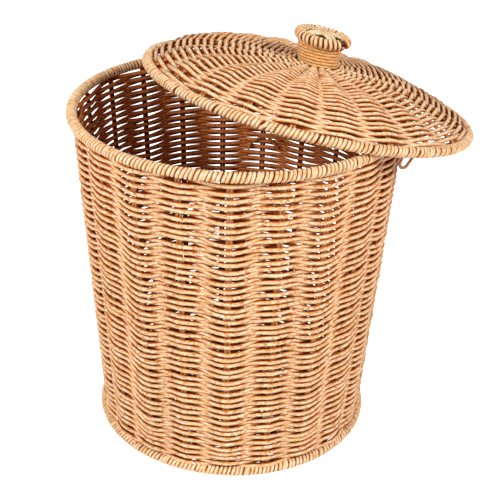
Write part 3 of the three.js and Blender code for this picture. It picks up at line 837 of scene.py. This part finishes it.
@dataclass
class WovenBody:
    """The basket without its lid."""

    trees: Trees
    palette: Palette
    height: float = 288.0
    rim_radius: float = 135.4
    rim_thickness: float = 9.2
    rim_gap: float = 0.1
    wall_foot: float = 111.3
    wall_top: float = 131.5
    foot_thickness: float = 8.6
    foot_flare: float = 1.4
    lowest_drop: float = 2.2
    hoop_rod: float = 3.8
    bend_radius: float = 9.3
    row_pitch: float = 2.95
    strand_width: float = 3.75
    strand_depth: float = 3.1
    flat_depth: float = 2.4
    rod: float = 2.6
    rim_pitch: float = 3.35
    foot_pitch: float = 3.3
    binding_depth: float = 2.9
    button_radius: float = 19.0
    button_pitch: float = 3.4
    spoke_gap: float = 7.0
    tip_reach: float = 0.62
    tail_inset: float = 4.6
    foot_radius: float = field(init=False)
    start_angle: float = field(init=False)

    def __post_init__(self) -> None:
        """Reads the turn of the stakes and the radius of the foot from the CAD."""
        first = cad_points("side_stake_01").mean(axis=0)
        self.start_angle = math.atan2(first[1], first[0])
        low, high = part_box("foot_hoop")
        self.foot_radius = (high.x - low.x) / 2 / MM - self.hoop_rod / 2

    @property
    def wall_height(self) -> float:
        """Height of the underside of the rim."""
        return self.height - self.rim_thickness

    @property
    def base_height(self) -> float:
        """Height of the middle of the base."""
        return self.foot_thickness / 2

    def wall_radius(self, height: float) -> float:
        """Radius of the line of the stakes at a height."""
        return self.wall_foot + (self.wall_top - self.wall_foot) * height / self.wall_height

    def bend(self) -> list[tuple[float, float]]:
        """The bend of a stake between base and wall.

        Returns:
            Radius and height of each point, from the base side.
        """
        lean = math.atan2(self.wall_top - self.wall_foot, self.wall_height)
        base, reach = self.base_height, self.bend_radius
        centre = self.wall_radius(base) - reach * math.tan((math.pi / 2 - lean) / 2)
        angles = np.linspace(-math.pi / 2, -lean, 8)
        return [(centre + reach * math.cos(a), base + reach * (1 + math.sin(a))) for a in angles]

    def build_wall(self) -> None:
        """Weaves the wall, in three lengths of one weaver."""
        foot = self.bend()[-1]
        top = self.wall_height - self.rim_gap
        lowest = (foot[0] + self.foot_flare, self.foot_thickness - self.lowest_drop)
        path = upright((lowest, foot, (self.wall_radius(top), top)))
        rows = length_of(path) / self.row_pitch
        third = round(rows / 3)
        lengths = {"low": (0, third), "middle": (third, third), "high": (2 * third, rows - 2 * third)}
        for name, (first, count) in lengths.items():
            values = {
                "Pitch": self.row_pitch, "First Row": float(first), "Rows": float(count), "All Rows": rows,
                "Start Angle": self.start_angle, "Swing": (self.rod + self.strand_depth) / 2 + 0.1,
                "Swing Spread": 0.6, "Droop": 2.5, "Bunch": 1.6, "Waver": 0.34, "Squeeze": 0.12,
                "Seam": 0.86, "Tuck": 0.97, "Inside": 0.34, "Inner Side": -1.0, "Width": self.strand_width,
                "Depth": self.strand_depth, "Seed": 3.0,
            }
            piece = self.trees.weaver.run_on(f"side_weave_{name}", path, self.palette.wall, values)
            finish_piece(piece, Body.BASKET, Slot.WALL, ["side_weave"])

    def build_base(self) -> None:
        """Weaves the base from its button to the bend, and coils the button."""
        base, bend = self.base_height, self.bend()
        path = upright([(self.button_radius + 1.6, base), (bend[1][0], base), *bend[2:5]])
        values = {
            "Pitch": self.row_pitch, "Rows": length_of(path) / self.row_pitch, "Steps": 8.0,
            "Start Angle": self.start_angle, "Swing": (self.rod + self.flat_depth) / 2, "Waver": 0.1,
            "Squeeze": 0.1, "Width": self.strand_width * 0.95, "Depth": self.flat_depth, "Seam": 0.75,
            "Tuck": 0.9, "Inside": 0.3, "Inner Side": -1.0, "Seed": 11.0,
        }
        piece = self.trees.weaver.run_on("base_weave_strands", path, self.palette.wall, values)
        finish_piece(piece, Body.BASKET, Slot.BASE, ["base_weave"])
        path = upright([(1.2, base), (self.button_radius - 1.8, base)])
        values = {
            "Pitch": self.button_pitch, "Rows": length_of(path) / self.button_pitch, "Steps": 3.0,
            "Waver": 0.05, "Width": 3.6, "Depth": self.foot_thickness - 0.5, "Seam": 0.7, "Seed": 21.0,
        }
        piece = self.trees.weaver.run_on("base_button_coil", path, self.palette.wall, values)
        finish_piece(piece, Body.BASKET, Slot.BASE, ["base_button"])

    def build_stakes(self) -> None:
        """Lays the doubled stakes, from the base centre round the bend and up to the rim."""
        top = self.wall_height - self.rim_gap
        rim = np.array((self.rim_radius, self.height - self.rim_thickness / 2))
        bend = self.bend()
        start = (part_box("base_button")[1].x / MM + self.spoke_gap, self.base_height)
        wall = [(self.wall_radius(z), z) for z in np.linspace(bend[-1][1] + 12, top, 14)]
        tip = tuple(np.array(wall[-1]) + self.tip_reach * (rim - np.array(wall[-1])))
        path = doubled([start, *bend, *wall, tip], self.rod, 0.7)
        values = {
            "Copies": STAKES, "Start Angle": self.start_angle, "Stray": 0.002, "Waver": 0.1, "Inside": 0.9,
            "Inner Side": -1.0, "Width": self.rod, "Depth": self.rod, "Seed": 5.0,
        }
        piece = self.trees.stake.run_on("side_stakes", path, self.palette.stake, values)
        finish_piece(piece, Body.BASKET, Slot.STAKE, numbered("side_stake"))

    def build_bindings(self) -> None:
        """Winds the rim and the foot."""
        rings = (
            ("rim", self.rim_radius, self.rim_thickness, self.height, self.rim_pitch, 2.0),
            ("foot", self.foot_radius, self.foot_thickness, self.foot_thickness, self.foot_pitch, 7.0),
        )
        for name, radius, thickness, top, pitch, seed in rings:
            values = {
                "Hoop Radius": radius, "Hoop Height": top - thickness / 2,
                "Coil Radius": (thickness - self.binding_depth) / 2 - 0.1,
                "Turns": float(round(FULL_TURN * radius / pitch)),
                "Start Angle": self.start_angle + math.pi / STAKES, "Opening": 1.2, "Waver": 0.4,
                "Lift": 0.05, "Lean": 0.7, "Width": pitch - 0.1, "Depth": self.binding_depth, "Seam": 0.76,
                "Seed": seed,
            }
            piece = self.trees.winding.run_on(f"{name}_winding", AXIS, self.palette.binding, values)
            finish_piece(piece, Body.BASKET, Slot.BINDING, [f"{name}_binding"])

    def build_tails(self) -> None:
        """Lays the ends of two weavers that stand out on the inside of the far wall.

        Each point is a direction in degrees and a height.
        """
        arch = [(85.5, 196.0), (84.3, 201.5), (82.5, 205.5), (80.5, 208.0)]
        arch += [(78.0, 209.5), (74.5, 209.5), (70.5, 208.0)]
        branch = [(76.5, 208.5), (75.4, 206.6), (74.0, 204.0), (72.8, 201.5), (71.9, 199.0)]
        for number, tail in enumerate((arch, branch), start=1):
            points = []
            for degrees, height in tail:
                radius = self.wall_radius(height) - self.tail_inset
                angle = math.radians(degrees)
                points.append((radius * math.cos(angle), radius * math.sin(angle), height))
            name = f"weaver_tail_{number}"
            piece = self.trees.single(name, in_metres(points), self.palette.loose, 2.5, 2.5, 9.0 + number)
            finish_piece(piece, Body.BASKET, Slot.WALL, [])

    def build(self) -> None:
        """Builds every piece of the basket."""
        self.build_wall()
        self.build_base()
        self.build_stakes()
        self.build_bindings()
        self.build_tails()


@dataclass
class WovenLid:
    """The lid, in the frame of its own hoop, whose X axis runs through its first stake."""

    trees: Trees
    palette: Palette
    radius: float = 137.05
    thickness: float = 8.9
    dome_rise: float = 21.8
    dome_edge_rise: float = 2.0
    dome_fullness: float = 4.4
    dome_edge_gap: float = 1.1
    dome_start: float = 19.1
    shoulder_lift: float = 2.4
    shoulder: tuple[float, float, float] = (60.0, 105.0, 118.0)
    overhang_sag: float = 3.0
    overhang: tuple[float, float, float] = (74.0, 98.0, 112.0)
    row_pitch: float = 2.95
    gathered_rows: float = 3.0
    strand_width: float = 3.75
    strand_depth: float = 2.9
    rod: float = 2.4
    rod_spacing: float = 2.6
    stake_start: float = 26.5
    edge_pitch: float = 3.5
    edge_depth: float = 2.8
    loop_drop: float = 12.6
    loop_radius: float = 3.9
    loop_top: float = -2.2
    loop_reach: float = 8.2
    neck_radius: float = 16.45
    neck_flare: float = 1.4
    neck_start: float = 25.6
    neck_finish: float = 43.38
    neck_turns: int = 7
    neck_slip: float = 2.7
    knob_radius: float = 19.5
    knob_height: float = 49.0
    knob_thickness: float = 9.5
    knob_turns: float = 33.0
    knob_depth: float = 3.0
    knob_gap: float = 0.36
    knob_tip: float = 3.5
    knob_drop: float = 0.8
    lattice_pitch: float = 2.75
    lattice_reach: float = 17.4
    lattice_waver: float = 0.35
    pose: RingPose = field(init=False)

    def __post_init__(self) -> None:
        """Finds where the lid lies in the CAD."""
        self.pose = RingPose("lid_hoop", "lid_stake_01")

    @property
    def edge(self) -> float:
        """Radius of the edge of the dome's weave."""
        return self.radius - self.thickness / 2 - self.dome_edge_gap

    def dome(self, start: float, points: int) -> list[tuple[float, float]]:
        """The middle line of the dome's weave, from a radius to the edge.

        Args:
            start: The radius of the first point.
            points: How many points.

        Returns:
            Radius and height of each point.
        """
        radii = start + (self.edge - start) * np.sin(np.linspace(0, math.pi / 2, points))
        falls = (radii / self.edge) ** self.dome_fullness
        return list(zip(radii, self.dome_edge_rise + self.dome_rise * (1 - falls)))

    def facing(self, azimuth: float) -> float:
        """The angle in the lid's own frame of a level direction.

        Args:
            azimuth: Degrees from the right of the photograph, towards its back.

        Returns:
            The angle in radians.
        """
        turn = math.radians(azimuth)
        aside = self.pose.matrix.inverted().to_3x3() @ Vector((math.cos(turn), math.sin(turn), 0))
        return math.atan2(aside.y, aside.x)

    def rightwards(self) -> Vector:
        """The direction of the photograph's right in the lid's own frame."""
        right = self.facing(0.0)
        return Vector((math.cos(right), math.sin(right), 0))

    def settle(self, piece: Object) -> None:
        """Gives the dome the set that it has in use: a fuller left shoulder and a sagging right overhang.

        Args:
            piece: A piece of the dome, still in the lid's own frame.
        """
        places = np.empty(len(piece.data.vertices) * 3, dtype=np.float32)
        piece.data.vertices.foreach_get("co", places)
        places = places.reshape(-1, 3)
        radius = np.hypot(places[:, 0], places[:, 1]) / MM
        aside = np.cos(np.arctan2(places[:, 1], places[:, 0]) - self.facing(0.0))

        def step(low: float, high: float) -> np.ndarray:
            """A smooth step from 0 to 1 between two radii."""
            share = np.clip((radius - low) / (high - low), 0, 1)
            return share * share * (3 - 2 * share)

        start, full, end = self.shoulder
        lift = np.clip(-aside, 0, 1) ** 4 * step(start, full) * (1 - step(end, self.edge))
        start, full, end = self.overhang
        sag = np.clip(aside, 0, 1) * step(start, full) * (1 - step(end, self.edge))
        places[:, 2] += (lift * self.shoulder_lift - sag * self.overhang_sag) * MM
        piece.data.vertices.foreach_set("co", places.ravel())
        piece.data.update()

    def lean(self, piece: Object) -> None:
        """Sets the neck a little more upright than the lid, as its turns have slipped.

        Args:
            piece: The neck's winding, still in the lid's own frame.
        """
        right = self.rightwards()
        for vertex in piece.data.vertices:
            share = (vertex.co.z / MM - self.neck_start) / (self.neck_finish - self.neck_start)
            vertex.co += right * (self.neck_slip / 2 - self.neck_slip * share) * MM

    def knob_set(self) -> Matrix:
        """How the knob's ring sits on its neck: a little lower in front.

        Returns:
            The ring's own set, in the lid's frame.
        """
        middle = Vector((0, 0, self.knob_height * MM))
        tip = Matrix.Rotation(math.radians(self.knob_tip), 4, self.rightwards())
        drop = Vector((0, 0, -self.knob_drop * MM))
        return Matrix.Translation(middle + drop) @ tip @ Matrix.Translation(-middle)

    def place(
        self,
        piece: Object,
        slot: Slot,
        replaced: Sequence[str],
        own: Matrix | None = None,
    ) -> None:
        """Puts a piece of the lid where the lid lies.

        Args:
            piece: The piece, in the lid's own frame.
            slot: The record's slot of its finish.
            replaced: CAD nodes that it stands for.
            own: A further set of its own within the lid, if any.
        """
        matrix = self.pose.matrix if own is None else self.pose.matrix @ own
        finish_piece(piece, Body.LID, slot, replaced, matrix)

    def build_weave(self) -> None:
        """Weaves the dome from the knob outwards."""
        path = upright(self.dome(self.dome_start, 40))
        # By the dome's edge, this share of the gathered rows has been made up.
        gathered = 0.83 * self.gathered_rows
        values = {
            "Pitch": self.row_pitch, "Rows": length_of(path) / self.row_pitch + gathered,
            "Swing": (self.rod + self.strand_depth) / 2, "Gather": self.gathered_rows, "Bunch": 1.4,
            "Waver": 0.42, "Squeeze": 0.08, "Width": self.strand_width, "Depth": self.strand_depth,
            "Seam": 0.95, "Tuck": 1.0, "Inside": 0.6, "Inner Side": 1.0, "Seed": 51.0,
        }
        piece = self.trees.weaver.run_on("lid_weave_strands", path, self.palette.lid, values)
        self.settle(piece)
        self.place(piece, Slot.LID, ["lid_weave"])

    def build_stakes(self) -> None:
        """Lays the doubled stakes of the dome."""
        line = [*self.dome(self.stake_start, 18), (self.radius - 2.4, 0.9)]
        path = doubled(line, self.rod_spacing, 0.4)
        values = {
            "Copies": STAKES, "Stray": 0.002, "Waver": 0.08, "Inside": 0.6, "Inner Side": 1.0,
            "Width": self.rod, "Depth": self.rod, "Seed": 61.0,
        }
        piece = self.trees.stake.run_on("lid_stakes", path, self.palette.stake, values)
        self.settle(piece)
        self.place(piece, Slot.STAKE, numbered("lid_stake"))

    def build_edge(self) -> None:
        """Winds the lid's edge."""
        values = {
            "Hoop Radius": self.radius, "Coil Radius": (self.thickness - self.edge_depth) / 2,
            "Turns": float(round(FULL_TURN * self.radius / self.edge_pitch)),
            "Start Angle": math.pi / STAKES, "Opening": -1.9, "Waver": 0.45, "Lift": 0.06, "Lean": 0.7,
            "Width": self.edge_pitch - 0.15, "Depth": self.edge_depth, "Seam": 0.76, "Seed": 71.0,
        }
        piece = self.trees.winding.run_on("lid_edge_winding", AXIS, self.palette.binding, values)
        self.place(piece, Slot.LID_BINDING, ["lid_binding"])

    def build_loop(self) -> None:
        """Hangs the small loop under the lid's edge: down, round a half turn and up aslant."""
        low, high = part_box("lid_loop")
        centre = self.pose.matrix.inverted() @ ((low + high) / 2)
        angle = math.atan2(centre.y, centre.x)
        half = self.loop_radius
        points = [(-half * 0.7, self.loop_top)]
        for step in range(15):
            turn = math.pi + (math.pi - 0.6) * step / 14
            points.append((half * math.cos(turn) + 0.3, half * math.sin(turn) + half - self.loop_drop))
        points.append((self.loop_reach, self.loop_top))
        across, along = math.cos(angle), math.sin(angle)
        path = in_metres(
            (self.radius * across - aside * along, self.radius * along + aside * across, height)
            for aside, height in points
        )
        piece = self.trees.single("lid_loop_strand", path, self.palette.loop, 2.6, 2.6, 81.0)
        self.place(piece, Slot.STAKE, ["lid_loop"])

    def build_neck(self) -> None:
        """Winds the neck of the knob, in turns that widen upwards."""
        low, high, turns = self.neck_start, self.neck_finish, self.neck_turns
        path = upright([(self.neck_radius, low), (self.neck_radius + self.neck_flare, high)])
        values = {
            "Pitch": (high - low) / turns, "Rows": float(turns), "Steps": 3.0, "Waver": 0.16, "Width": 2.55,
            "Depth": 2.0, "Seam": 0.6, "Seed": 91.0,
        }
        piece = self.trees.weaver.run_on("knob_neck_turns", path, self.palette.neck, values)
        self.lean(piece)
        self.place(piece, Slot.KNOB, ["knob_neck_winding"])

    def build_knob_ring(self) -> None:
        """Winds the ring of the knob, which leaves its core bare at the front right."""
        gap_angle = self.facing(-35.0)
        values = {
            "Hoop Radius": self.knob_radius, "Hoop Height": self.knob_height,
            "Coil Radius": (self.knob_thickness - self.knob_depth) / 2, "Turns": self.knob_turns,
            "Steps": 18.0, "Stakes": 5.0, "Start Angle": gap_angle + self.knob_gap / 2,
            "Arc": FULL_TURN - self.knob_gap, "Opening": 0.9, "Waver": 0.5, "Lift": 0.08, "Lean": -1.3,
            "Width": 3.3, "Depth": self.knob_depth, "Seam": 0.85, "Seed": 101.0,
        }
        piece = self.trees.winding.run_on("knob_ring_winding", AXIS, self.palette.binding, values)
        self.place(piece, Slot.KNOB, ["knob_binding"], self.knob_set())
        radius = self.knob_radius
        angles = np.linspace(gap_angle - self.knob_gap, gap_angle + self.knob_gap, 9)
        path = in_metres((radius * math.cos(a), radius * math.sin(a), self.knob_height) for a in angles)
        # The bare core takes the dark cane of painted shade.
        piece = self.trees.single("knob_ring_core", path, self.palette.post, 4.2, 4.2, 105.0)
        self.place(piece, Slot.KNOB, [], self.knob_set())

    def build_knob_top(self) -> None:
        """Crosses two sets of arched strands over the top of the knob, above a lower layer of stake ends in
        dark cane that paints the shade inside the knob.
        """
        layers = (
            ("upper", 24.0, 3, 3.4, self.palette.binding),
            ("top", -66.0, 3, 4.3, self.palette.binding),
            ("lower", -21.0, 9, 0.4, self.palette.post),
        )
        own = self.knob_set()
        replaced = ["knob_lattice"]
        for layer, azimuth, count, crown, finish in layers:
            turn = self.facing(azimuth)
            for number in range(count):
                aside = (number - (count - 1) / 2) * self.lattice_pitch
                points = []
                for share in (step / 16 * 2 - 1 for step in range(17)):
                    along = share * math.sqrt(self.lattice_reach**2 - aside**2)
                    arch = crown - (crown + 0.2) * abs(share) ** 4
                    strayed = aside + self.lattice_waver * math.sin(along * 0.55 + crown + aside)
                    x = along * math.cos(turn) - strayed * math.sin(turn)
                    y = along * math.sin(turn) + strayed * math.cos(turn)
                    points.append((x, y, self.knob_height + arch))
                name = f"knob_lattice_{layer}_{number + 1}"
                piece = self.trees.single(name, in_metres(points), finish, 2.8, 2.5, 111.0)
                self.place(piece, Slot.KNOB, replaced, own)
                replaced = []

    def build(self) -> None:
        """Builds every piece of the lid."""
        self.build_weave()
        self.build_stakes()
        self.build_edge()
        self.build_loop()
        self.build_neck()
        self.build_knob_ring()
        self.build_knob_top()


@dataclass
class CadDressing:
    """Finishes for the CAD nodes that stay: the wire hoops, and the gathered core of the knob in dark cane
    that paints the shade inside it.
    """

    palette: Palette

    def build(self) -> None:
        """Dresses each node."""
        for name in ("rim_hoop", "foot_hoop", "lid_hoop", "knob_hoop"):
            self.dress(name, self.palette.wire)
        self.dress("knob_post", self.palette.post)

    def dress(self, name: str, finish: Material) -> None:
        """Puts a finish on a CAD node.

        Args:
            name: The node's name.
            finish: The material.
        """
        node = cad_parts[name]
        node.data.materials.clear()
        node.data.materials.append(finish)
        log.info("%s: dressed as %s", name, finish.name)


@dataclass(frozen=True)
class PhotoView:
    """The camera of the photograph, fitted to the outlines of rim, foot and wall."""

    location: tuple[float, float, float] = (0.0, -0.93142, 0.64738)
    pitch: float = 0.4878
    yaw: float = 0.0136
    roll: float = 0.0311
    lens: float = 87.82

    def build(self) -> None:
        """Makes the camera."""
        ahead = math.cos(self.pitch)
        forward = Vector((math.sin(self.yaw) * ahead, math.cos(self.yaw) * ahead, -math.sin(self.pitch)))
        right = Vector((math.cos(self.yaw), -math.sin(self.yaw), 0))
        up = right.cross(forward)
        turned_right = right * math.cos(self.roll) + up * math.sin(self.roll)
        turned_up = up * math.cos(self.roll) - right * math.sin(self.roll)
        data = bpy.data.cameras.new("photo_view")
        data.lens = self.lens
        data.sensor_width = 36.0
        data.clip_start, data.clip_end = 0.05, 20.0
        camera = bpy.data.objects.new("photo_view", data)
        turned = Matrix((turned_right, turned_up, -forward)).transposed().to_4x4()
        camera.matrix_world = Matrix.Translation(Vector(self.location)) @ turned
        bpy.context.scene.collection.objects.link(camera)
        bpy.context.scene.camera = camera


@dataclass(frozen=True)
class Studio:
    """A white floor and surround with three soft lights.

    The camera sees both as pure white. On the basket, the surround's light is dim and a little warm.
    """

    floor_half: float = 6.0
    white: tuple[float, float, float, float] = (1.0, 1.0, 1.0, 1.0)
    surround: tuple[float, float, float, float] = (0.23, 0.18, 0.165, 1.0)
    aim: tuple[float, float, float] = (0.0, 0.0, 0.16)

    def build(self) -> None:
        """Makes the surround, the floor and the lights."""
        bpy.context.scene.view_settings.view_transform = "Standard"
        self.build_surround()
        self.build_floor()
        self.lamp("key", (-1.45, -1.0, 1.5), 0.6, 29.8)
        self.lamp("fill", (1.5, -0.9, 1.35), 0.6, 30.4)
        self.lamp("front", (-0.7, -1.65, 0.85), 0.8, 8.4)

    def build_surround(self) -> None:
        """Makes the world."""
        world = bpy.data.worlds.new("white_surround")
        world.use_nodes = True
        bpy.context.scene.world = world
        add = partial(add_node, world.node_tree)
        seen = add("ShaderNodeLightPath", {}, {})
        links = {"Fac": seen.outputs["Is Camera Ray"], "Color1": self.surround, "Color2": self.white}
        glow = add("ShaderNodeMixRGB", {}, links)
        world.node_tree.links.new(glow.outputs[0], world.node_tree.nodes["Background"].inputs["Color"])

    def build_floor(self) -> None:
        """Lays the floor, of white paper."""
        size = self.floor_half
        mesh = bpy.data.meshes.new("studio_floor")
        corners = [(-size, -size, 0), (size, -size, 0), (size, size, 0), (-size, size, 0)]
        mesh.from_pydata(corners, [], [(0, 1, 2, 3)])
        floor = bpy.data.objects.new("studio_floor", mesh)
        bpy.context.scene.collection.objects.link(floor)
        paper, add = new_material("white_paper")
        seen = add("ShaderNodeLightPath", {}, {}).outputs["Is Camera Ray"]
        links = {"Base Color": (0.9, 0.9, 0.9, 1.0), "Roughness": 0.9}
        links |= {"Emission Color": self.white, "Emission Strength": seen}
        shader = add("ShaderNodeBsdfPrincipled", {}, links)
        add("ShaderNodeOutputMaterial", {}, {"Surface": shader.outputs[0]})
        mesh.materials.append(paper)

    def lamp(self, name: str, place: tuple[float, float, float], size: float, power: float) -> None:
        """A square soft light that faces the basket.

        Args:
            name: The light's name.
            place: Where it stands, in metres.
            size: The length of its side, in metres.
            power: Its power in watts.
        """
        data = bpy.data.lights.new(name, "AREA")
        data.shape = "SQUARE"
        data.size = size
        data.energy = power
        lamp = bpy.data.objects.new(name, data)
        lamp.location = place
        lamp.rotation_mode = "QUATERNION"
        lamp.rotation_quaternion = (Vector(self.aim) - Vector(place)).to_track_quat("-Z", "Y")
        bpy.context.scene.collection.objects.link(lamp)


def main() -> None:
    """Builds the scene."""
    logging.basicConfig(level=logging.INFO, format="%(name)s: %(message)s")
    PhotoView().build()
    trees, palette = Trees(), Palette()
    for part in (WovenBody(trees, palette), WovenLid(trees, palette), CadDressing(palette), Studio()):
        part.build()


if __name__ == "__main__":
    main()
